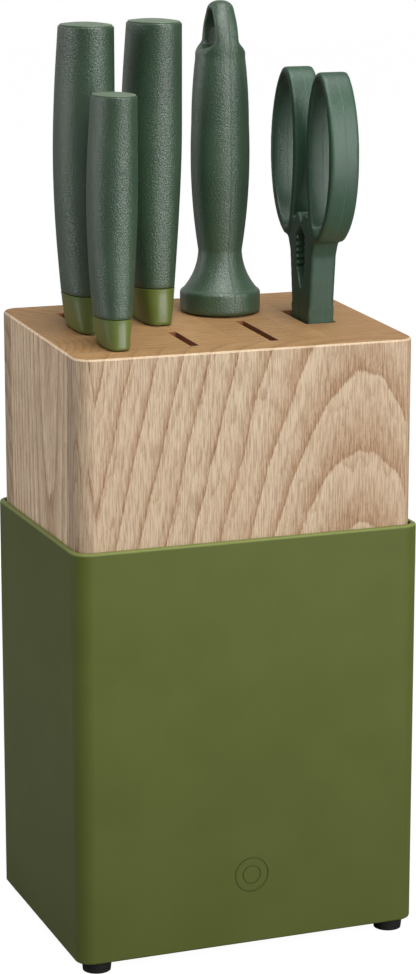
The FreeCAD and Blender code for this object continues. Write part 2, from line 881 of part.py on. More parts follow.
def make_blade(knife, x):
    """A blade with its tang: a side outline, thinned from the spine to the edge.

    Its neck is as deep as the ferrule and ends just under the ferrule's sloping foot.
    """
    side = make_body(f"{knife}_side")
    spine = f"(0 - {knife}_spine)"
    edge = f"{knife}_edge"
    length = f"(0 - {knife}_length)"
    half = f"{knife}_tang_half"
    neck = f"{knife}_neck"

    def under_ferrule(along):
        return f"seat_gap - neck_gap + ({along}) * wood_rise / wood_depth"

    profile = [
        (spine, under_ferrule(spine)),
        (f"0 - {half}", under_ferrule(f"0 - {half}")),
        (f"0 - {half}", f"{knife}_tang"),
        (half, f"{knife}_tang"),
        (half, under_ferrule(half)),
        (neck, under_ferrule(neck)),
        (neck, "0 - heel_drop"),
        (edge, "0 - heel_drop"),
        (edge, f"0 - {knife}_straight", "arc"),
        (f"{spine} + 1.2", length),
        (spine, f"{length} + 6"),
    ]
    sketch = outline(side, f"{knife}_outline", "YZ_Plane", profile, f"0 - {knife}_thick / 2")
    pad(side, sketch, f"{knife}_thick", f"{knife}_sheet")
    wedge = make_body(f"{knife}_wedge")
    broad = f"({knife}_thick / 2)"
    fine = "(edge_thick / 2)"
    section = [
        (f"0 - {broad}", f"{spine} - 1"),
        (broad, f"{spine} - 1"),
        (broad, half),
        (fine, edge),
        (f"0 - {fine}", edge),
        (f"0 - {broad}", half),
    ]
    sketch = outline(wedge, f"{knife}_section", "XY_Plane", section, f"{length} - 1")
    pad(wedge, sketch, f"{knife}_length + {knife}_tang + 2", f"{knife}_wedge_pad")
    blade = join("Common", f"{knife}_blade", side, wedge)
    place(blade, x, f"{knife}_y", top_at(f"{knife}_y"))
    return keep(blade)


# ---------------------------------------------------------------- sharpening steel


def make_steel_rod():
    body = make_body("steel_rod")
    profile = [
        ("0", "0 - rod_length"),
        ("rod_radius - rod_tip", "0 - rod_length"),
        ("rod_radius", "0 - rod_length + rod_tip"),
        ("rod_radius", "rod_grip"),
        ("0", "rod_grip"),
    ]
    sketch = outline(body, "rod_profile", "XZ_Plane", profile)
    revolve(body, sketch, "rod_turn")
    place(body, "steel_x", "steel_y", "steel_seat")
    return keep(body)


def make_steel_handle():
    """A turned handle with a wide guard, flattened at the top round a hanging eye."""
    body = make_body("steel_handle_turned")
    hole = "(rod_radius + screw_clearance)"
    lip = "(guard_radius - guard_round)"
    profile = [
        (hole, "-2"),
        (lip, "-2"),
        (lip, "0", "guard_round"),
        ("guard_radius", "guard_round"),
        ("guard_radius", "guard_height", "guard_edge"),
        ("guard_radius - 1.2", "guard_height + 1.4", "-flare_arc"),
        ("neck_radius", "neck_height", "neck_arc"),
        ("swell_radius", "swell_height", "swell_arc"),
        ("shoulder_radius", "shoulder_height", "shoulder_arc"),
        ("crown_radius", "steel_top - crown_drop", "crown_arc"),
        ("crown_flat", "steel_top"),
        ("0", "steel_top"),
        ("0", "rod_grip + rod_end_gap"),
        (hole, "rod_grip + rod_end_gap"),
    ]
    sketch = outline(body, "handle_profile", "XZ_Plane", profile)
    revolve(body, sketch, "handle_turn")
    place(body, "steel_x", "steel_y", "steel_seat")
    reach = "(guard_radius + 1)"
    handle = body
    for side, way in (("left", "0 - "), ("right", "")):
        flat = make_body(f"eye_flat_{side}")
        wedge = [
            (f"{way}eye_half_thick", "eye_ledge + eye_ledge_rise"),
            (f"{way}shoulder_radius", "eye_ledge"),
            (f"{way}{reach}", "eye_ledge"),
            (f"{way}{reach}", "steel_top + 1"),
            (f"{way}eye_half_thick", "steel_top + 1"),
        ]
        sketch = outline(flat, f"eye_flat_outline_{side}", "XZ_Plane", wedge, f"0 - {reach}")
        pad(flat, sketch, f"2 * {reach}", f"eye_flat_tool_{side}")
        place(flat, "steel_x", "steel_y", "steel_seat")
        handle = join("Cut", f"steel_handle_{flat.Name}", handle, flat)
    eye = make_body("steel_eye")
    half = "eye_half_width"
    arch = [
        (f"0 - {half}", "eye_bottom"),
        ("0", "eye_bottom - eye_sill"),
        (half, "eye_bottom"),
        (f"{half} - 0.6", "eye_bottom + eye_height / 2"),
        ("eye_arch_half", "eye_bottom + eye_height - eye_arch_drop"),
        ("0", "eye_bottom + eye_height"),
        ("0 - eye_arch_half", "eye_bottom + eye_height - eye_arch_drop"),
        (f"0.6 - {half}", "eye_bottom + eye_height / 2"),
    ]
    sketch = outline(eye, "eye_outline", "YZ_Plane", arch, "-20")
    pad(eye, sketch, "40", "eye_tool")
    place(eye, "steel_x", "steel_y", "steel_seat")
    handle = join("Cut", "steel_handle_eyed", handle, eye)
    seat = slope_tool("steel_guard_seat", "steel_x", "steel_y", "60")
    return keep(join("Cut", "steel_handle", handle, seat))


# ---------------------------------------------------------------- kitchen shears


def make_shears_blade(side):
    """One blade with its round boss and its tang. side is "front" or "back"."""
    turn = "" if side == "front" else "0 - "
    lean = "0 - " if side == "front" else ""
    body = make_body(f"shears_{side}_blade")
    inner = "(blade_gap / 2)"
    start = f"0 - {inner} - shears_blade_thick" if side == "front" else inner
    boss = round_sketch(body, f"{side}_boss_sketch", "0", "0", "shears_boss", start, "YZ_Plane")
    pad(body, boss, "shears_blade_thick", f"{side}_boss")
    half = "shears_blade_half"
    knife = [
        (f"{turn}({half})", "2"),
        (f"{lean}({half})", "2"),
        (f"{lean}({half} - 0.6)", "0 - shears_blade_length / 2"),
        (f"{lean}1.6", "0 - shears_blade_length"),
        (f"{turn}0.6", "0 - shears_blade_length"),
        (f"{turn}({half} - 1.6)", "0 - shears_blade_length / 2"),
    ]
    sketch = outline(body, f"{side}_blade_sketch", "YZ_Plane", knife, start)
    pad(body, sketch, "shears_blade_thick", f"{side}_blade_pad")
    tang = [
        (f"{lean}tang_root_inner", "tang_root"),
        (f"{lean}tang_root_outer", "tang_root"),
        (f"{lean}tang_top_outer", "shears_tang_top"),
        (f"{lean}tang_top_inner", "shears_tang_top"),
        (f"{lean}tang_root_inner", "shaft_foot + 4"),
    ]
    sketch = outline(body, f"{side}_tang_sketch", "YZ_Plane", tang, start)
    pad(body, sketch, "shears_blade_thick", f"{side}_tang_pad")
    hole = round_sketch(
        body, f"{side}_pivot_hole", "0", "0", "pivot_radius + pivot_clearance", start, "YZ_Plane"
    )
    pocket(body, hole, "shears_blade_thick", f"{side}_pivot_cut")
    place(body, "shears_x", "shears_y", "pivot_height")
    return keep(body)


def egg_wire(side, inset):
    """The closed curve of one finger loop in the plane of the shears.

    Its outer side is leaf-shaped, and its foot is drawn in towards the shaft.
    """
    sign = -1 if side == "front" else 1
    centre = Vector(0, sign * sheet.loop_centre_y, sheet.loop_centre_height)
    half_width = sheet.loop_half_width - inset
    half_height = sheet.loop_half_height - inset
    points = []
    steps = 24
    for i in range(steps):
        angle = 2 * math.pi * i / steps
        out = math.cos(angle)
        flat, fullness = (0.94, 0.92) if out < 0 else (1.0, 1.3)
        along = half_width * math.copysign(abs(out) ** fullness, out) * flat
        along -= sheet.loop_foot_shift * max(0.0, -math.sin(angle)) ** 5
        points.append(centre + Vector(0, sign * along, half_height * math.sin(angle)))
    curve = Part.BSplineCurve()
    curve.interpolate(points, PeriodicFlag=True)
    return Part.Wire([curve.toShape()])


def across(wire, half):
    """A solid of a flat outline, half on each side of the plane of the shears."""
    face = Part.Face(wire)
    face.translate(Vector(-half, 0, 0))
    return face.extrude(Vector(2 * half, 0, 0))


def make_shears_handle(side):
    """One moulded handle: a finger loop, a shaft and a toothed inner jaw."""
    sign = -1 if side == "front" else 1
    half = sheet.loop_half_thick
    ring = across(egg_wire(side, 0), half).cut(across(egg_wire(side, sheet.loop_band), half + 1))
    gap = sheet.shaft_gap / 2
    foot, shaft_top = sheet.shaft_foot, sheet.loop_centre_height - sheet.loop_half_height + 3
    middle = sheet.jaw_low - 4
    side_points = [
        (gap, foot - 2),
        (sheet.shaft_foot_outer, foot - 2),
        (sheet.shaft_foot_outer + 0.8, foot + 12),
        (sheet.shaft_top_outer - 1.6, sheet.jaw_high - 11),
        (sheet.shaft_top_outer + 3.2, shaft_top + 1.5),
        (sheet.loop_centre_y - 8.0, sheet.loop_centre_height - sheet.loop_half_height + 6.5),
        (gap + 3.0, sheet.jaw_high + 6),
        (gap, sheet.jaw_high + 2),
        (gap, sheet.jaw_high),
        (gap + sheet.jaw_depth, sheet.jaw_high - 3),
        (gap + sheet.jaw_depth, sheet.jaw_low + 3),
        (gap, middle),
    ]
    outline_points = [Vector(0, sign * y, z) for y, z in side_points]
    shaft = across(Part.makePolygon(outline_points + outline_points[:1]), sheet.shaft_half_thick)
    handle = ring.fuse(shaft).removeSplitter()
    teeth = int((sheet.jaw_high - sheet.jaw_low - 6) / sheet.tooth_pitch)
    for i in range(teeth):
        height = sheet.jaw_low + 3.6 + (i + 0.5) * sheet.tooth_pitch
        centre = Vector(-half - 1, sign * (gap + sheet.jaw_depth), height)
        groove = Part.makeCylinder(sheet.tooth_depth, 2 * half + 2, centre, Vector(1, 0, 0))
        handle = handle.cut(groove)
    clear = Part.makeCylinder(foot - 0.6, 40, Vector(-20, 0, 0), Vector(1, 0, 0))
    handle = handle.cut(clear)
    handle = handle.cut(shears_tang_room(side))
    item = doc.addObject("Part::Feature", f"shears_{side}_handle")
    item.Shape = handle.removeSplitter()
    place(item, "shears_x", "shears_y", "pivot_height")
    return keep(item)


def shears_tang_room(side):
    """The space that a blade's tang needs inside its handle."""
    sign = -1 if side == "front" else 1
    play = sheet.tang_clearance
    inner = sheet.blade_gap / 2
    thick = sheet.shears_blade_thick
    start = -inner - thick - play if side == "front" else inner - play
    points = [
        (sheet.tang_root_inner - play, sheet.tang_root),
        (sheet.tang_root_outer + play, sheet.tang_root),
        (sheet.tang_top_outer + play, sheet.shears_tang_top + play),
        (sheet.tang_top_inner - play, sheet.shears_tang_top + play),
        (sheet.tang_root_inner - play, sheet.shaft_foot + 4 + play),
    ]
    corners_now = [Vector(start, sign * y, z) for y, z in points]
    face = Part.Face(Part.makePolygon(corners_now + corners_now[:1]))
    return face.extrude(Vector(thick + 2 * play, 0, 0))


def make_pivot():
    """The pivot screw and its nut, with a running fit in both blades."""
    stack = "(shears_blade_thick + blade_gap / 2 + 0.1)"
    screw = make_body("shears_pivot_screw")
    shank = round_sketch(
        screw, "pivot_shank_sketch", "0", "0", "pivot_radius", f"0 - {stack}", "YZ_Plane"
    )
    pad(screw, shank, f"{stack} * 2 + pivot_head_height", "pivot_shank")
    head = round_sketch(
        screw,
        "pivot_head_sketch",
        "0",
        "0",
        "pivot_head_radius",
        f"0 - {stack} - pivot_head_height",
        "YZ_Plane",
    )
    pad(screw, head, "pivot_head_height", "pivot_head")
    nut = make_body("shears_pivot_nut")
    disc = round_sketch(nut, "nut_disc_sketch", "0", "0", "pivot_head_radius", stack, "YZ_Plane")
    pad(nut, disc, "pivot_head_height", "nut_disc")
    hole = round_sketch(nut, "nut_hole_sketch", "0", "0", "pivot_radius", stack, "YZ_Plane")
    pocket(nut, hole, "pivot_head_height", "nut_hole")
    for item in (screw, nut):
        place(item, "shears_x", "shears_y", "pivot_height")
        keep(item)


# ---------------------------------------------------------------- build, test and write


def build():
    fill_sheet()
    make_shell()
    make_base_plate()
    for name, x, y in corners():
        make_foot(name, x, y)
    make_foot_screws()
    make_top_screws()
    make_wood()
    for knife, x in (("chef", "slot_left_x"), ("slicer", "slot_middle_x"), ("paring", "slot_left_x")):
        make_handle(knife, x)
        make_blade(knife, x)
    make_steel_rod()
    make_steel_handle()
    make_pivot()
    for side in ("front", "back"):
        make_shears_blade(side)
        make_shears_handle(side)
    doc.recompute()


def test():
    """Stops if an object failed to recompute or a sub-part isn't a sound solid."""
    for item in doc.Objects:
        if {"Invalid", "Error"} & set(item.State):
            raise RuntimeError(f"{item.Name} did not recompute: {item.State}")
    for item in exports:
        shape = item.Shape
        if shape.isNull() or not shape.isValid() or not shape.Solids:
            raise RuntimeError(f"{item.Label} is not a sound solid")


def write():
    os.makedirs("parts", exist_ok=True)
    for item in exports:
        item.Shape.exportStep(f"parts/{item.Label}.step")
        print(item.Label, len(item.Shape.Solids), round(item.Shape.Volume, 1))


build()
test()
write()
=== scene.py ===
import math

import bmesh
import bpy
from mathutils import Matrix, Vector


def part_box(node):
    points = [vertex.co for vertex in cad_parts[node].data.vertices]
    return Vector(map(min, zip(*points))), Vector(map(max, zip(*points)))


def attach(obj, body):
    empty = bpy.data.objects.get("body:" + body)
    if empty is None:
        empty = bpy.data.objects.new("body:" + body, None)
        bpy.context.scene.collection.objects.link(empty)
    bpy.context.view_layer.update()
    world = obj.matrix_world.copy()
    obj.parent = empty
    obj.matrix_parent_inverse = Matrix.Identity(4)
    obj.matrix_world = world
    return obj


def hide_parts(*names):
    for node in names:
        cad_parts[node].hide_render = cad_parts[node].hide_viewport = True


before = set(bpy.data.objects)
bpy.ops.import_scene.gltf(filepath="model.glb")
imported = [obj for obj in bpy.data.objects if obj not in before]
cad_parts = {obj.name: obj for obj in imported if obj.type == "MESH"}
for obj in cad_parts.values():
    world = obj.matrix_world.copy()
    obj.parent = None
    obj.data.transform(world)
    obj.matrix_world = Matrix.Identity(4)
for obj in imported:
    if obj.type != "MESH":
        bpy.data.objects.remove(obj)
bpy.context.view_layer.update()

# A knife block: an olive moulded shell with a glued ash top, three knives, a
# sharpening steel and a pair of kitchen shears. Lengths are in metres, and the
# makers' sizes below are in millimetres.
MM = 0.001

KNIVES = {"chef": "chef_knife", "slicer": "slicing_knife", "paring": "paring_knife"}

# One large knife handle, upwards from the wood: height, half thickness, half
# depth, forward lean and the fullness of the oval's corners.
HANDLE = [
    (0.0, 6.0, 13.6, 0.0, 3.3),
    (15.0, 8.3, 14.0, -0.5, 2.6),
    (44.0, 10.8, 15.0, -0.6, 2.3),
    (70.0, 11.9, 15.4, 0.3, 2.2),
    (96.0, 11.6, 15.3, 1.8, 2.15),
    (123.0, 10.6, 14.8, 4.6, 2.15),
]
FERRULE_TOP = 15.0
GRIP_TOP = 123.0
CAP_TOP = 124.4
SEAT_GAP = 0.4
SLOPE = 5.0 / 105.9
RING_POINTS = 112

# The wooden top's outline: half its width and depth, and the radius of its upright corners.
WOOD_HALF_WIDTH = 72.7
WOOD_HALF_DEPTH = 52.95
WOOD_CORNER = 7.5


# ---------------------------------------------------------------- shapes


def middle_of(node):
    """The middle of a CAD node, in millimetres."""
    low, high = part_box(node)
    return (low + high) / 2 / MM


def link(name, mesh):
    """A new object in the scene."""
    piece = bpy.data.objects.new(name, mesh)
    bpy.context.scene.collection.objects.link(piece)
    return piece


def smooth_shade(mesh, sharp_over=38):
    """Soft shading that keeps crisp edges where two faces meet steeply."""
    mesh.shade_smooth()
    mesh.set_sharp_from_angle(angle=math.radians(sharp_over))


def skin_rings(name, rings, sharp_over=38):
    """A closed skin over a stack of rings, with its two ends filled to a centre point."""
    form = bmesh.new()
    rows = [[form.verts.new(point) for point in ring] for ring in rings]
    for low, high in zip(rows, rows[1:]):
        for i in range(len(low)):
            j = (i + 1) % len(low)
            form.faces.new((low[i], low[j], high[j], high[i]))
    for row, turned in ((rows[0], True), (rows[-1], False)):
        middle = form.verts.new(sum((v.co for v in row), Vector()) / len(row))
        for i in range(len(row)):
            j = (i + 1) % len(row)
            corners = (row[j], row[i], middle) if turned else (row[i], row[j], middle)
            form.faces.new(corners)
    mesh = bpy.data.meshes.new(name)
    form.to_mesh(mesh)
    form.free()
    smooth_shade(mesh, sharp_over)
    return link(name, mesh)


def handle_at(height):
    """Half thickness, half depth, lean and fullness of a large handle at a height."""
    stations = HANDLE
    last = len(stations) - 2
    k = max(i for i in range(last + 1) if stations[i][0] <= height or i == 0)
    low, high = stations[k], stations[k + 1]
    before = stations[k - 1] if k else low
    after = stations[k + 2] if k < last else high
    span = high[0] - low[0]
    t = (height - low[0]) / span
    found = []
    for value in range(1, 5):
        rise_in = (high[value] - before[value]) / (high[0] - before[0]) * span
        rise_out = (after[value] - low[value]) / (after[0] - low[0]) * span
        found.append(
            (2 * t**3 - 3 * t**2 + 1) * low[value]
            + (t**3 - 2 * t**2 + t) * rise_in
            + (3 * t**2 - 2 * t**3) * high[value]
            + (t**3 - t**2) * rise_out
        )
    return found


def handle_ring(foot, scale, height, inset=0.0, lift=None):
    """One oval round a handle. lift gives the ring's height as a function of its place in Y."""
    thick, depth, lean, fullness = handle_at(min(height, GRIP_TOP))
    points = []
    for i in range(RING_POINTS):
        turn = 2 * math.pi * i / RING_POINTS
        across, along = math.cos(turn), math.sin(turn)
        x = (thick - inset) * math.copysign(abs(across) ** (2 / fullness), across) * scale
        y = (depth - inset) * math.copysign(abs(along) ** (2 / fullness), along) * scale
        y -= lean * scale
        z = height * scale if lift is None else lift(y)
        points.append(foot + Vector((x, y, z)) * MM)
    return points


def knife_foot(knife):
    """The point of the wooden top that a knife's handle stands over, and the knife's scale."""
    low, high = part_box(f"{knife}_grip")
    scale = (high.z - low.z) / ((GRIP_TOP - FERRULE_TOP) * MM)
    front_reach = max(h[2] + h[3] for h in HANDLE[1:])
    foot_y = low.y + front_reach * scale * MM
    blade_low, blade_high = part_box(f"{knife}_blade")
    return Vector(((blade_low.x + blade_high.x) / 2, foot_y, low.z - FERRULE_TOP * scale * MM)), scale


def make_grip(knife):
    """The grained grip: a leaning oval that swells in the hand, with a rounded end."""
    foot, scale = knife_foot(knife)
    rings = [handle_ring(foot, scale, FERRULE_TOP + 0.1, 0.45)]
    rings.append(handle_ring(foot, scale, FERRULE_TOP + 0.22, 0.14))
    steps = 56
    start, stop = FERRULE_TOP + 0.5, GRIP_TOP - 0.7
    for i in range(steps + 1):
        rings.append(handle_ring(foot, scale, start + (stop - start) * i / steps))
    for angle in (25, 50, 72, 90):
        turn = math.radians(angle)
        edge = 0.7 * (1 - math.cos(turn))
        rings.append(handle_ring(foot, scale, stop + 0.7 * math.sin(turn), edge))
    return skin_rings(f"{knife}_grained_grip", rings, 50)


def make_ferrule(knife):
    """The olive ferrule: it narrows downwards and is cut parallel to the sloping top."""
    foot, scale = knife_foot(knife)

    def level(share, rise=0.0):
        top = (FERRULE_TOP - 0.08) * scale

        def lift(y):
            bottom = SEAT_GAP + y * SLOPE
            return bottom + (top - bottom) * share + rise

        return lift

    rings = [handle_ring(foot, scale, 0.0, 0.7, level(0))]
    rings.append(handle_ring(foot, scale, 0.1, 0.25, level(0, 0.12)))
    rings.append(handle_ring(foot, scale, 0.4, 0.0, level(0, 0.5)))
    steps = 14
    for i in range(1, steps):
        share = 0.04 + 0.93 * i / steps
        rings.append(handle_ring(foot, scale, FERRULE_TOP * share, 0.0, level(share)))
    rings.append(handle_ring(foot, scale, FERRULE_TOP - 0.5, -0.1, level(0.965)))
    rings.append(handle_ring(foot, scale, FERRULE_TOP - 0.2, -0.1, level(0.985)))
    rings.append(handle_ring(foot, scale, FERRULE_TOP, 0.3, level(1)))
    return skin_rings(f"{knife}_olive_ferrule", rings, 50)


def make_cap(knife):
    """The end cap: a low dome inside a fine lip."""
    foot, scale = knife_foot(knife)
    rim = GRIP_TOP + 0.55
    rings = [
        handle_ring(foot, scale, GRIP_TOP + 0.02, 0.75),
        handle_ring(foot, scale, rim - 0.3, 0.62),
        handle_ring(foot, scale, rim - 0.08, 0.72),
        handle_ring(foot, scale, rim, 0.95),
    ]
    for share in (0.9, 0.8, 0.65, 0.5, 0.35, 0.2, 0.08):
        rise = (CAP_TOP - rim) * (1 - share**2)
        rings.append(cap_ring(foot, scale, share, rim + rise, 0.95))
    return skin_rings(f"{knife}_end_cap_dome", rings, 50)


def cap_ring(foot, scale, share, height, inset):
    """A smaller oval on the cap, drawn in towards the cap's centre."""
    outer = handle_ring(foot, scale, height, inset)
    centre = sum(outer, Vector()) / len(outer)
    return [centre + (point - centre) * share for point in outer]


def soften(node, name, voxel, passes, extra=0, where=None):
    """A moulded twin of a CAD node: an even skin whose edges are rounded off.

    The places that where picks are rounded by extra passes more.
    """
    form = bmesh.new()
    form.from_mesh(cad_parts[node].data)
    bmesh.ops.remove_doubles(form, verts=form.verts, dist=1e-6)
    mesh = bpy.data.meshes.new(name)
    form.to_mesh(mesh)
    form.free()
    rough = link(f"{name}_rough", mesh)
    even = rough.modifiers.new("even skin", "REMESH")
    even.mode = "VOXEL"
    even.voxel_size = voxel * MM
    even.adaptivity = 0.0
    rounded = rough.modifiers.new("rounded edges", "SMOOTH")
    rounded.factor = 0.5
    rounded.iterations = passes
    depsgraph = bpy.context.evaluated_depsgraph_get()
    final = bpy.data.meshes.new_from_object(rough.evaluated_get(depsgraph))
    bpy.data.objects.remove(rough)
    final.name = name
    if extra:
        form = bmesh.new()
        form.from_mesh(final)
        picked = [v for v in form.verts if where(v.co / MM)]
        axes = {f"use_axis_{axis}": True for axis in "xyz"}
        for _ in range(extra):
            bmesh.ops.smooth_vert(form, verts=picked, factor=0.5, **axes)
        form.to_mesh(final)
        form.free()
    final.materials.clear()
    final.shade_smooth()
    return link(name, final)


# ---------------------------------------------------------------- finishes


def paint(red, green, blue):
    """A colour from its usual 0 to 255 values."""

    def linear(value):
        value /= 255
        return value / 12.92 if value <= 0.04045 else ((value + 0.055) / 1.055) ** 2.4

    return (linear(red), linear(green), linear(blue), 1.0)


def toned(colour, strength):
    """The same colour, brighter or darker."""
    return tuple(part * strength for part in colour[:3]) + (1.0,)


class Recipe:
    """Places nodes in one tree and joins them, so that a finish reads like its sums."""

    def __init__(self, tree):
        self.tree = tree

    def feed(self, socket, value):
        if isinstance(value, bpy.types.NodeSocket):
            self.tree.links.new(value, socket)
        else:
            socket.default_value = value

    def place(self, kind, inputs=(), **settings):
        node = self.tree.nodes.new(kind)
        for name, value in settings.items():
            setattr(node, name, value)
        for name, value in dict(inputs).items():
            self.feed(node.inputs[name], value)
        return node

    def sum(self, operation, *values):
        node = self.place("ShaderNodeMath", operation=operation)
        for socket, value in zip(node.inputs, values):
            self.feed(socket, value)
        return node.outputs[0]

    def move(self, operation, vector, by):
        node = self.place("ShaderNodeVectorMath", operation=operation)
        self.feed(node.inputs[0], vector)
        self.feed(node.inputs[1], by)
        return node.outputs[0]

    def noise(self, vector, scale, detail=2.0, roughness=0.5):
        inputs = {"Vector": vector, "Scale": scale, "Detail": detail, "Roughness": roughness}
        return self.place("ShaderNodeTexNoise", inputs).outputs["Fac"]

    def range(self, value, low, high, start=0.0, stop=1.0):
        names = {
            "Value": value,
            "From Min": low,
            "From Max": high,
            "To Min": start,
            "To Max": stop,
        }
        node = self.place("ShaderNodeMapRange", names, interpolation_type="SMOOTHSTEP")
        return node.outputs["Result"]

    def mix(self, share, first, second):
        node = self.place("ShaderNodeMix", data_type="RGBA")
        share_socket, colours = node.inputs[0], node.inputs[6:8]
        self.feed(share_socket, share)
        self.feed(colours[0], first)
        self.feed(colours[1], second)
        return node.outputs[2]

    def split(self, vector):
        return self.place("ShaderNodeSeparateXYZ", {"Vector": vector}).outputs

    def group(self, tree, **values):
        """One of the shared effects. Its sockets are named with low lines for spaces."""
        node = self.place("ShaderNodeGroup", node_tree=tree)
        for name, value in values.items():
            self.feed(node.inputs[name.replace("_", " ")], value)
        return node.outputs


def new_group(name, inputs, outputs):
    """An empty node group with named sockets, its recipe, and its two end nodes."""
    tree = bpy.data.node_groups.new(name, "ShaderNodeTree")
    for title, kind, value in inputs:
        socket = tree.interface.new_socket(title, in_out="INPUT", socket_type=kind)
        if value is not None:
            socket.default_value = value
    for title, kind in outputs:
        tree.interface.new_socket(title, in_out="OUTPUT", socket_type=kind)
    recipe = Recipe(tree)
    start = recipe.place("NodeGroupInput").outputs
    stop = recipe.place("NodeGroupOutput").inputs
    return tree, recipe, start, stop


def moulded_grain_group():
    """Fine spark-eroded grain of moulded plastic, with slow drifts in tone, and a mask of the grain's
    peaks for painted glints.
    """
    inputs = [
        ("Vector", "NodeSocketVector", None),
        ("Grain Size", "NodeSocketFloat", 0.6),
        ("Drift Size", "NodeSocketFloat", 30.0),
    ]
    outputs = [
        ("Height", "NodeSocketFloat"),
        ("Painted Glint", "NodeSocketFloat"),
        ("Drift", "NodeSocketFloat"),
    ]
    tree, recipe, start, stop = new_group("moulded grain", inputs, outputs)
    fineness = recipe.sum("DIVIDE", 1.0, start["Grain Size"])
    coarse = recipe.noise(start["Vector"], fineness, 2.0, 0.6)
    fine = recipe.noise(start["Vector"], recipe.sum("MULTIPLY", fineness, 1.9), 1.0, 0.5)
    height = recipe.sum("MULTIPLY_ADD", coarse, 0.65, recipe.sum("MULTIPLY", fine, 0.35))
    drift = recipe.noise(start["Vector"], recipe.sum("DIVIDE", 1.0, start["Drift Size"]), 3.0, 0.55)
    recipe.feed(stop["Height"], height)
    recipe.feed(stop["Painted Glint"], recipe.range(height, 0.56, 0.72))
    recipe.feed(stop["Drift"], recipe.range(drift, 0.3, 0.7))
    return tree


def ash_group():
    """Ash figure: growth rings with a crisp dark edge that fades outwards, and short pores."""
    inputs = [
        ("Vector", "NodeSocketVector", None),
        ("Rings", "NodeSocketFloat", 0.0),
        ("Ring Width", "NodeSocketFloat", 7.0),
        ("Wander", "NodeSocketFloat", 0.3),
        ("Crispness", "NodeSocketFloat", 2.0),
    ]
    outputs = [
        ("Late Wood", "NodeSocketFloat"),
        ("Edge Line", "NodeSocketFloat"),
        ("Fibre", "NodeSocketFloat"),
        ("Pores", "NodeSocketFloat"),
        ("Drift", "NodeSocketFloat"),
    ]
    tree, recipe, start, stop = new_group("ash figure", inputs, outputs)
    place = start["Vector"]
    wide = recipe.noise(recipe.move("MULTIPLY", place, (0.028, 0.028, 0.011)), 1.0, 2.0, 0.5)
    fibre = recipe.noise(recipe.move("MULTIPLY", place, (2.0, 2.0, 0.1)), 1.0, 2.0, 0.6)
    thread = recipe.noise(recipe.move("MULTIPLY", place, (1.7, 1.7, 0.1)), 1.0, 1.0, 0.5)
    uneven = recipe.noise(recipe.move("MULTIPLY", place, (0.16, 0.16, 0.02)), 1.0, 1.0, 0.5)
    pores = recipe.noise(recipe.move("MULTIPLY", place, (3.6, 3.6, 0.55)), 1.0, 1.0, 0.5)
    drifted = recipe.sum("MULTIPLY_ADD", uneven, 0.45, recipe.sum("SUBTRACT", wide, 0.72))
    wander = recipe.sum("MULTIPLY", drifted, start["Wander"])
    jag = recipe.sum("MULTIPLY", recipe.sum("SUBTRACT", thread, 0.5), 0.13)
    turns = recipe.sum("DIVIDE", start["Rings"], start["Ring Width"])
    turns = recipe.sum("ADD", turns, recipe.sum("ADD", wander, jag))
    part = recipe.sum("FRACT", turns)
    fade = recipe.sum("POWER", recipe.sum("SUBTRACT", 1.0, part), start["Crispness"])
    # faint lines inside each ring, where the wood is uneven
    offset = recipe.sum("MULTIPLY", uneven, 1.5)
    inner = recipe.sum("FRACT", recipe.sum("MULTIPLY_ADD", turns, 2.37, offset))
    inner = recipe.sum("POWER", recipe.sum("SUBTRACT", 1.0, inner), 4.0)
    inner = recipe.sum("MULTIPLY", inner, uneven)
    late = recipe.sum("MAXIMUM", recipe.sum("MAXIMUM", fade, inner), recipe.range(part, 0.96, 1.0))
    after = recipe.range(part, 0.0, 0.08, 1.0, 0.0)
    before = recipe.range(part, 0.97, 1.0)
    recipe.feed(stop["Late Wood"], late)
    recipe.feed(stop["Edge Line"], recipe.sum("MAXIMUM", after, before))
    recipe.feed(stop["Fibre"], recipe.range(fibre, 0.36, 0.64))
    recipe.feed(stop["Pores"], recipe.range(pores, 0.52, 0.72))
    recipe.feed(stop["Drift"], recipe.range(wide, 0.3, 0.7))
    return tree


GRAIN = moulded_grain_group()
ASH = ash_group()


def new_finish(name):
    """An empty material: its recipe, its Principled shader, the place of each point in
    millimetres, and all its texture coordinates."""
    material = bpy.data.materials.new(name)
    material.use_nodes = True
    recipe = Recipe(material.node_tree)
    shader = material.node_tree.nodes["Principled BSDF"]
    inputs = recipe.place("ShaderNodeTexCoord").outputs
    place = recipe.move("MULTIPLY", inputs["Object"], (1000.0, 1000.0, 1000.0))
    return material, recipe, shader, place, inputs


def bump(recipe, shader, height, strength, depth):
    inputs = {"Height": height, "Strength": strength, "Distance": depth * MM}
    recipe.feed(shader.inputs["Normal"], recipe.place("ShaderNodeBump", inputs).outputs["Normal"])


def moulded(name, dark, light, grain=0.6, depth=0.05, roughness=(0.5, 0.62), shine=0.5, edit=None):
    """Moulded plastic: a colour that drifts a little, fine grain with painted glints on its peaks,
    and uneven gloss.
    """
    material, recipe, shader, place, _ = new_finish(name)
    fine = recipe.group(GRAIN, Vector=place, Grain_Size=grain)
    colour = recipe.mix(fine["Drift"], dark, light)
    # painted glints: the grain's peaks are painted much paler, as highlights
    painted_glint = recipe.sum("MULTIPLY", fine["Painted Glint"], 0.22)
    colour = recipe.mix(painted_glint, colour, toned(light, 1.9))
    height = fine["Height"]
    if edit:
        colour, height = edit(recipe, place, colour, height)
    recipe.feed(shader.inputs["Base Color"], colour)
    rough = recipe.range(fine["Height"], 0.3, 0.7, *roughness)
    recipe.feed(shader.inputs["Roughness"], rough)
    shader.inputs["Specular IOR Level"].default_value = shine
    bump(recipe, shader, height, 1.0, depth)
    return material


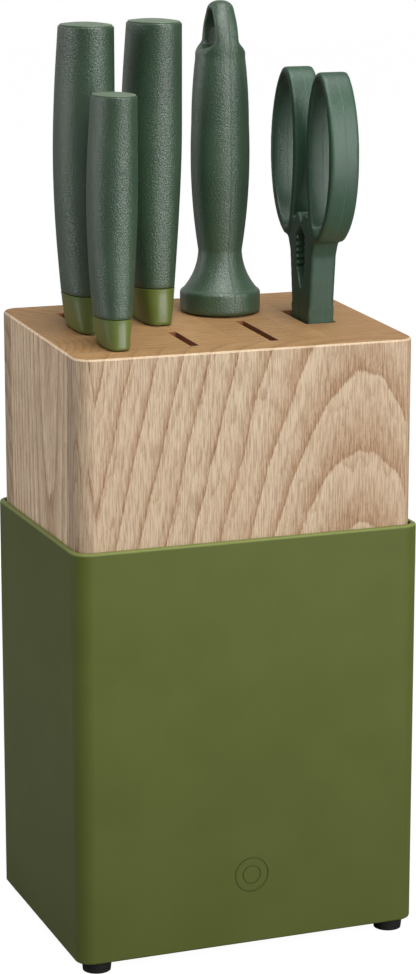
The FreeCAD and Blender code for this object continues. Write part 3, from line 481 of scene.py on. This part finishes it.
def shell_rim_highlight_and_low_shade(recipe, place, colour, height):
    """Painted light on the shell: a painted highlight along its rim, and painted shade that makes its
    low parts a little darker.
    """
    _, _, up = recipe.split(place)
    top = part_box("shell")[1].z / MM
    rim = recipe.range(up, top - 1.3, top - 0.5)
    # painted highlight: a paler olive band along the rim
    colour = recipe.mix(recipe.sum("MULTIPLY", rim, 0.35), colour, paint(150, 160, 88))
    # painted shade: darker towards the bottom of the shell
    low = recipe.range(up, 4.0, 150.0, 0.16, 0.0)
    return recipe.mix(low, colour, paint(52, 60, 32)), height


def seam_marks(node):
    """A fine mould seam that runs up the middle of a moulded piece, front and back."""

    def edit(recipe, place, colour, height):
        across, _, _ = recipe.split(place)
        seam_x = middle_of(node).x + 0.4
        away = recipe.sum("ABSOLUTE", recipe.sum("SUBTRACT", across, seam_x))
        seam = recipe.range(away, 0.1, 0.3, 1.0, 0.0)
        colour = recipe.mix(recipe.sum("MULTIPLY", seam, 0.2), colour, paint(100, 125, 100))
        return colour, recipe.sum("MULTIPLY_ADD", seam, 0.5, height)

    return edit


def ash(name, rings, ring_width, wander, tones=None, end_tone=None, line_share=0.5, graded=False):
    """Oiled ash. rings gives the growth-ring field from the place in millimetres.

    tones are the early wood and the late wood. A graded board has narrow dark lines at its
    left and broad soft ones at its right.
    """
    light, tan = tones or (ASH_LIGHT, ASH_TAN)
    material, recipe, shader, place, inputs = new_finish(name)
    x, y, _ = recipe.split(place)
    crispness = 2.0
    if graded:
        crispness = recipe.range(x, *GRADED_SPAN, 5.0, 1.5)
        line_share = recipe.range(x, *GRADED_SPAN, 0.8, 0.4)
    field = rings(recipe, place)
    figure = recipe.group(
        ASH, Vector=place, Rings=field, Ring_Width=ring_width, Wander=wander, Crispness=crispness
    )
    upright = recipe.sum("ABSOLUTE", recipe.split(inputs["Normal"])[2])
    colour = side_grain(recipe, figure, light, tan, line_share)
    end_colour = end_grain(recipe, figure, place, end_tone or END_TONE, inputs["Generated"])
    colour = recipe.mix(recipe.range(upright, 0.75, 0.92), colour, end_colour)
    # the slot walls are painted dark reddish brown: real scorching and painted shade
    slot_scorch_and_shade = slot_walls(recipe, x, y, upright)
    colour = recipe.mix(recipe.sum("MULTIPLY", slot_scorch_and_shade, 0.9), colour, SCORCHED_AND_SHADED)
    # painted highlight: the eased top edge is painted as a pale line
    edge_highlight = recipe.range(upright, 0.35, 0.5)
    edge_highlight = recipe.sum("MULTIPLY", edge_highlight, recipe.range(upright, 0.8, 0.9, 1.0, 0.0))
    colour = recipe.mix(recipe.sum("MULTIPLY", edge_highlight, 0.45), colour, EASED_EDGE_HIGHLIGHT)
    recipe.feed(shader.inputs["Base Color"], colour)
    recipe.feed(shader.inputs["Roughness"], recipe.range(figure["Fibre"], 0.0, 1.0, 0.52, 0.7))
    shader.inputs["Specular IOR Level"].default_value = 0.35
    grooves = recipe.sum("ADD", recipe.sum("MULTIPLY", figure["Pores"], -0.7), figure["Fibre"])
    bump(recipe, shader, grooves, 0.5, 0.06)
    return material


def side_grain(recipe, figure, light, tan, line_share):
    """Ash along the grain: rings, their edge lines, fibres and open pores."""
    late, fibre = figure["Late Wood"], figure["Fibre"]
    colour = recipe.mix(recipe.sum("MULTIPLY", late, 0.95), light, tan)
    line = recipe.sum("MULTIPLY", figure["Edge Line"], line_share)
    colour = recipe.mix(line, colour, ASH_LINE)
    colour = recipe.mix(recipe.sum("MULTIPLY", fibre, 0.42), colour, toned(tan, 0.7))
    pale = recipe.sum("MULTIPLY", recipe.sum("SUBTRACT", 1.0, fibre), 0.4)
    colour = recipe.mix(pale, colour, toned(light, 1.12))
    pore = recipe.sum("MULTIPLY", figure["Pores"], recipe.range(late, 0.1, 0.9, 0.16, 0.5))
    colour = recipe.mix(pore, colour, toned(tan, 0.5))
    return recipe.mix(recipe.sum("MULTIPLY", figure["Drift"], 0.18), colour, ASH_WARM)


def end_grain(recipe, figure, place, tone, generated):
    """Ash across the grain: darker, with pores seen end on and a thin line at each joint."""
    dots = recipe.noise(recipe.move("MULTIPLY", place, (1.5, 1.5, 1.5)), 1.0, 3.0, 0.65)
    blotch = recipe.noise(recipe.move("MULTIPLY", place, (0.07, 0.16, 0.1)), 1.0, 3.0, 0.6)
    colour = recipe.mix(recipe.range(blotch, 0.3, 0.7, 0.0, 0.6), tone, END_BLOTCH)
    late = recipe.sum("MULTIPLY", figure["Late Wood"], 0.5)
    colour = recipe.mix(late, colour, END_LINE)
    dot = recipe.sum("MULTIPLY", recipe.range(dots, 0.5, 0.75), 0.35)
    colour = recipe.mix(dot, colour, END_PORE)
    share = recipe.split(generated)
    off_x, off_y = (recipe.sum("ABSOLUTE", recipe.sum("SUBTRACT", share[i], 0.5)) for i in (0, 1))
    joint = recipe.range(recipe.sum("MAXIMUM", off_x, off_y), 0.48, 0.5)
    return recipe.mix(recipe.sum("MULTIPLY", joint, 0.35), colour, GLUE_LINE)


def slot_walls(recipe, x, y, upright):
    """Where the walls of the slots are, which are painted dark: partly the saw's real scorching,
    partly painted shade inside the slots.

    They are the upright faces inside the block's rounded outline.
    """

    def past_corner(value, half):
        flat = half - WOOD_CORNER
        return recipe.sum("MAXIMUM", recipe.sum("SUBTRACT", recipe.sum("ABSOLUTE", value), flat), 0.0)

    over_x, over_y = past_corner(x, WOOD_HALF_WIDTH), past_corner(y, WOOD_HALF_DEPTH)
    span = recipe.sum("MULTIPLY_ADD", over_x, over_x, recipe.sum("MULTIPLY", over_y, over_y))
    reach = recipe.sum("SQRT", span)
    inside = recipe.range(reach, WOOD_CORNER - 0.5, WOOD_CORNER - 0.2, 1.0, 0.0)
    return recipe.sum("MULTIPLY", inside, recipe.range(upright, 0.2, 0.5, 1.0, 0.0))


def front_rings(recipe, place):
    """Rings of the wide front board: arches right of the middle, and a V at the left corner."""
    x, y, z = recipe.split(place)
    # the arches' axis, the line where the rings fold back, and how steep and blunt they are
    arch_x, turn_x, steepness, opening = 48.9, -65.7, 4.5, 45.0
    wood_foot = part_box("shell")[1].z / MM
    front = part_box("wood_front_board")[0].y / MM
    past = recipe.sum("SUBTRACT", x, turn_x)
    folded = recipe.sum("MAXIMUM", past, recipe.sum("MULTIPLY", past, -1.8))
    folded = recipe.sum("MAXIMUM", folded, recipe.sum("MULTIPLY_ADD", past, -9.0, -20.0))
    away = recipe.sum("ADD", folded, turn_x - arch_x)
    deep = recipe.sum("ADD", recipe.sum("SUBTRACT", y, front), opening)
    span = recipe.sum("MULTIPLY_ADD", away, away, recipe.sum("MULTIPLY", deep, deep))
    arches = recipe.sum("MULTIPLY", recipe.sum("SQRT", span), steepness)
    field = recipe.sum("ADD", arches, recipe.sum("SUBTRACT", z, wood_foot + 19.5))
    wider = recipe.sum("MAXIMUM", recipe.sum("SUBTRACT", field, 270.0), 0.0)
    field = recipe.sum("MULTIPLY_ADD", wider, -0.3, field)
    # the board's narrow edges show the rings side on, as close upright lines
    edge = recipe.range(recipe.sum("ABSOLUTE", x), 68.5, 70.6)
    return recipe.sum("MULTIPLY_ADD", recipe.sum("MULTIPLY", edge, y), 8.0, field)


def round_rings(centre_x, centre_y, lean=0.04):
    """Rings round a heart that lies outside the stave and leans a little."""

    def rings(recipe, place):
        x, y, z = recipe.split(place)
        dx = recipe.sum("SUBTRACT", x, recipe.sum("MULTIPLY_ADD", z, lean, centre_x))
        dy = recipe.sum("SUBTRACT", y, centre_y)
        span = recipe.sum("MULTIPLY_ADD", dx, dx, recipe.sum("MULTIPLY", dy, dy))
        return recipe.sum("SQRT", span)

    return rings


def steel(name, tone, line_scale, roughness, groove=0.02, spin=None):
    """Ground steel with fine lines. spin is the centre of a rod whose lines run lengthwise."""
    material, recipe, shader, place, _ = new_finish(name)
    if spin:
        x, y, _ = recipe.split(place)
        off_x, off_y = recipe.sum("SUBTRACT", x, spin[0]), recipe.sum("SUBTRACT", y, spin[1])
        turn = recipe.sum("ARCTAN2", off_y, off_x)
        ridge = recipe.sum("SINE", recipe.sum("MULTIPLY", turn, 60.0))
        lines = recipe.range(ridge, -1.0, 1.0)
    else:
        lines = recipe.noise(recipe.move("MULTIPLY", place, line_scale), 1.0, 2.0, 0.6)
    smear = recipe.noise(recipe.move("MULTIPLY", place, (0.05, 0.05, 0.02)), 1.0, 3.0, 0.6)
    colour = recipe.mix(recipe.range(lines, 0.2, 0.8), tone, toned(tone, 0.72))
    colour = recipe.mix(recipe.sum("MULTIPLY", smear, 0.2), colour, paint(165, 170, 178))
    recipe.feed(shader.inputs["Base Color"], colour)
    recipe.feed(shader.inputs["Roughness"], recipe.range(lines, 0.2, 0.8, *roughness))
    shader.inputs["Metallic"].default_value = 1.0
    bump(recipe, shader, lines, 0.6, groove)
    return material


# Tones of the wood.
ASH_LIGHT = paint(201, 181, 154)
ASH_TAN = paint(148, 107, 70)
ASH_LINE = paint(124, 82, 50)
ASH_WARM = paint(182, 142, 115)
# the left stave's tones, lightened as painted light that brightens the block's left side
PAINTED_LIT_STAVE = (paint(250, 227, 196), paint(182, 138, 98))
END_TONE = paint(176, 139, 94)
PALE_END_TONE = paint(187, 149, 102)
END_BLOTCH = paint(160, 118, 72)
END_LINE = paint(120, 84, 48)
END_PORE = paint(128, 88, 50)
GLUE_LINE = paint(118, 80, 46)
# the slot walls' dark reddish brown: real scorching and painted shade together
SCORCHED_AND_SHADED = paint(150, 88, 54)
# painted highlight along the eased top edge
EASED_EDGE_HIGHLIGHT = paint(222, 198, 164)

# Where the front board's lines turn from narrow to broad, across the block.
GRADED_SPAN = (-20.0, 30.0)

# Each moulded finish: a dark and a light tone, the grain's size and depth in millimetres, the
# span of its roughness, and its shine.
GRIP = (paint(42, 66, 46), paint(50, 76, 54), 0.66, 0.36, (0.28, 0.4), 1.0)
SHEARS_GRIP = (paint(42, 70, 53), paint(50, 80, 61), 0.62, 0.1, (0.36, 0.48), 0.55)
SHELL = (paint(82, 90, 37), paint(86, 94, 41), 0.45, 0.012, (0.4, 0.5), 0.22)
RUBBER = (paint(16, 16, 16), paint(28, 28, 27), 0.7, 0.06, (0.7, 0.85), 0.3)
FERRULE = (paint(84, 98, 38), paint(94, 108, 46), 0.4, 0.02, (0.3, 0.4), 0.8)
END_CAP = (paint(98, 114, 94), paint(108, 124, 102), 0.45, 0.03, (0.42, 0.55))

FINISH = {
    "shell": moulded("olive moulded shell", *SHELL, shell_rim_highlight_and_low_shade),
    "plate": moulded("black moulded plate", paint(22, 22, 22), paint(34, 34, 34), 0.8, 0.05),
    "rubber": moulded("black rubber", *RUBBER),
    "ferrule": moulded("olive ferrule", *FERRULE),
    "grip": moulded("dark green grained grip", *GRIP),
    "cap": moulded("grey green end cap", *END_CAP),
    "steel grip": moulded("dark green steel grip", *GRIP, seam_marks("steel_handle")),
    "shears": moulded("green shears grip", *SHEARS_GRIP, seam_marks("shears_front_handle")),
    "blade": steel("ground blade steel", paint(222, 224, 228), (1.0, 4.0, 0.12), (0.32, 0.46)),
    "screw": steel("zinc plated steel", paint(188, 190, 186), (2.0, 2.0, 2.0), (0.35, 0.5)),
    "rod": steel(
        "grooved chrome rod", paint(215, 217, 220), None, (0.2, 0.34), 0.06, middle_of("steel_rod")
    ),
    "ash front": ash("ash front board", front_rings, 31.0, 0.35, graded=True),
    "ash left": ash("ash left stave", round_rings(-112.0, -16.0), 3.2, 0.5, PAINTED_LIT_STAVE, None, 0.35),
    "ash middle": ash("ash middle stave", round_rings(-20.0, 120.0), 4.2, 1.2, line_share=0.3),
    "ash other": ash(
        "ash second stave", round_rings(30.0, -150.0), 3.4, 1.2, None, PALE_END_TONE, 0.3
    ),
    "ash right": ash("ash right stave", round_rings(130.0, 70.0), 3.0, 1.6, line_share=0.3),
    "ash back": ash("ash back board", round_rings(-10.0, 190.0, 0.5), 6.0, 1.5),
}

# The CAD nodes that stay in view, by their finish.
KEPT_NODES = {
    "shell": ["shell"],
    "plate": ["base_plate"],
    "rubber": ["foot_front_left", "foot_front_right", "foot_back_left", "foot_back_right"],
    "screw": ["foot_screws", "top_screws", "shears_pivot_screw", "shears_pivot_nut"],
    "ash front": ["wood_front_board"],
    "ash back": ["wood_back_board"],
    "ash left": ["wood_stave_left"],
    "ash middle": [
        "wood_stave_second",
        "wood_slot_side_left",
        "wood_slot_side_right",
        "wood_steel_stave",
        "slot_divider_left",
    ],
    "ash other": [
        "wood_stave_third",
        "wood_stave_fourth",
        "slot_divider_middle",
        "shears_slot_floor",
    ],
    "ash right": ["wood_stave_right", "shears_slot_front_block", "shears_slot_back_block"],
    "blade": [
        "chef_blade",
        "slicer_blade",
        "paring_blade",
        "shears_front_blade",
        "shears_back_blade",
    ],
    "rod": ["steel_rod"],
}


def dress(piece, finish):
    """Gives a piece its one finish."""
    piece.data.materials.clear()
    piece.data.materials.append(FINISH[finish])


def stand_for(piece, node, body, finish):
    """A new piece takes a CAD node's place, body and finish."""
    dress(piece, finish)
    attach(piece, body)
    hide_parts(node)


for finish, nodes in KEPT_NODES.items():
    for node in nodes:
        dress(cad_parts[node], finish)

for knife, body in KNIVES.items():
    stand_for(make_ferrule(knife), f"{knife}_ferrule", body, "ferrule")
    stand_for(make_grip(knife), f"{knife}_grip", body, "grip")
    stand_for(make_cap(knife), f"{knife}_end_cap", body, "cap")

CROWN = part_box("steel_handle")[1].z / MM - 26.0
PIVOT = middle_of("shears_pivot_screw")


def on_crown(co):
    """The steel's hanging eye and the shoulders below it."""
    return co.z > CROWN


def away_from_jaw(co):
    """The outer flanks of the shears' shafts and loops, clear of the toothed jaw."""
    return abs(co.y - PIVOT.y) > 5.0 and co.z > PIVOT.z + 24.0


steel_grip = soften("steel_handle", "steel_turned_grip", 0.5, 6, 8, on_crown)
stand_for(steel_grip, "steel_handle", "sharpening_steel", "steel grip")
for side in ("front", "back"):
    node = f"shears_{side}_handle"
    loop = soften(node, f"shears_{side}_loop", 0.45, 5, 22, away_from_jaw)
    stand_for(loop, node, f"shears_{side}_half", "shears")


# ---------------------------------------------------------------- studio


def make_floor():
    """A wide pale sheet that the block stands on."""
    mesh = bpy.data.meshes.new("studio_floor")
    half = 6.0
    corners = [(-half, -half, 0), (half, -half, 0), (half, half, 0), (-half, half, 0)]
    mesh.from_pydata(corners, [], [(0, 1, 2, 3)])
    floor = link("studio_floor", mesh)
    material, recipe, shader, place, _ = new_finish("pale paper floor")
    cloud = recipe.noise(recipe.move("MULTIPLY", place, (0.01, 0.01, 0.01)), 1.0, 2.0, 0.5)
    seen = recipe.place("ShaderNodeLightPath").outputs["Is Camera Ray"]
    paper_white = recipe.mix(cloud, paint(244, 244, 243), paint(250, 250, 249))
    recipe.feed(shader.inputs["Base Color"], recipe.mix(seen, paint(140, 140, 138), paper_white))
    shader.inputs["Roughness"].default_value = 0.9
    shader.inputs["Specular IOR Level"].default_value = 0.1
    paper = recipe.place("ShaderNodeEmission", {"Color": (1, 1, 1, 1), "Strength": 1.05})
    both = recipe.place("ShaderNodeMixShader")
    recipe.feed(both.inputs[0], recipe.sum("MULTIPLY", seen, 0.93))
    recipe.feed(both.inputs[1], shader.outputs[0])
    recipe.feed(both.inputs[2], paper.outputs[0])
    recipe.feed(material.node_tree.nodes["Material Output"].inputs["Surface"], both.outputs[0])
    mesh.materials.append(material)


# Each lamp's azimuth and elevation in degrees, distance, width, power in watts and, if it
# isn't square, height.
LAMPS = {
    "key_lamp": (24, 12, 1.25, 0.55, 9.8, 0.95),
    "front_lamp": (-12, 46, 2.0, 0.8, 16.0),
    "left_lamp": (-112, 13, 1.25, 0.3, 3.5, 0.9),
    "top_lamp": (30, 74, 1.6, 0.9, 15.0),
}
LAMP_TARGET = Vector((0, 0, 0.2))
CAMERA_PLACE = (-0.3925, -1.0373, 0.4401)
CAMERA_TILT = 77.18
CAMERA_TURN = -20.81
CAMERA_LENS = 99.88


def make_lamp(name, azimuth, elevation, distance, size, power, tall=None):
    """A soft square or upright lamp that faces the middle of the block."""
    lamp = bpy.data.lights.new(name, "AREA")
    lamp.energy = power
    lamp.size = size
    if tall:
        lamp.shape = "RECTANGLE"
        lamp.size_y = tall
    turn, lift = math.radians(azimuth), math.radians(elevation)
    flat = math.cos(lift)
    way = Vector((math.sin(turn) * flat, -math.cos(turn) * flat, math.sin(lift)))
    piece = bpy.data.objects.new(name, lamp)
    piece.location = LAMP_TARGET + way * distance
    piece.rotation_euler = (-way).to_track_quat("-Z", "Y").to_euler()
    bpy.context.scene.collection.objects.link(piece)


def make_sky():
    """A white room: full white to the eye. As light it is dim in front and bright behind."""
    world = bpy.data.worlds.new("white room")
    bpy.context.scene.world = world
    world.use_nodes = True
    tree = world.node_tree
    recipe = Recipe(tree)
    tree.nodes.clear()
    seen = recipe.place("ShaderNodeBackground", {"Color": (1, 1, 1, 1), "Strength": 1.0})
    towards = recipe.split(recipe.place("ShaderNodeTexCoord").outputs["Generated"])
    glow = recipe.range(towards[1], -0.2, 0.9, 0.16, 0.5)
    light = recipe.place("ShaderNodeBackground", {"Color": (1, 1, 1, 1), "Strength": glow})
    path = recipe.place("ShaderNodeLightPath")
    choose = recipe.place("ShaderNodeMixShader")
    recipe.feed(choose.inputs[0], path.outputs["Is Camera Ray"])
    recipe.feed(choose.inputs[1], light.outputs[0])
    recipe.feed(choose.inputs[2], seen.outputs[0])
    end = recipe.place("ShaderNodeOutputWorld")
    recipe.feed(end.inputs["Surface"], choose.outputs[0])


def make_camera():
    """A long lens, a little above the block and round to its left."""
    camera = bpy.data.cameras.new("studio_camera")
    camera.lens = CAMERA_LENS
    camera.sensor_width = 36.0
    piece = bpy.data.objects.new("studio_camera", camera)
    piece.location = CAMERA_PLACE
    piece.rotation_euler = (math.radians(CAMERA_TILT), 0.0, math.radians(CAMERA_TURN))
    bpy.context.scene.collection.objects.link(piece)
    bpy.context.scene.camera = piece


make_floor()
make_sky()
for name, setting in LAMPS.items():
    make_lamp(name, *setting)
make_camera()
bpy.context.scene.view_settings.view_transform = "Standard"
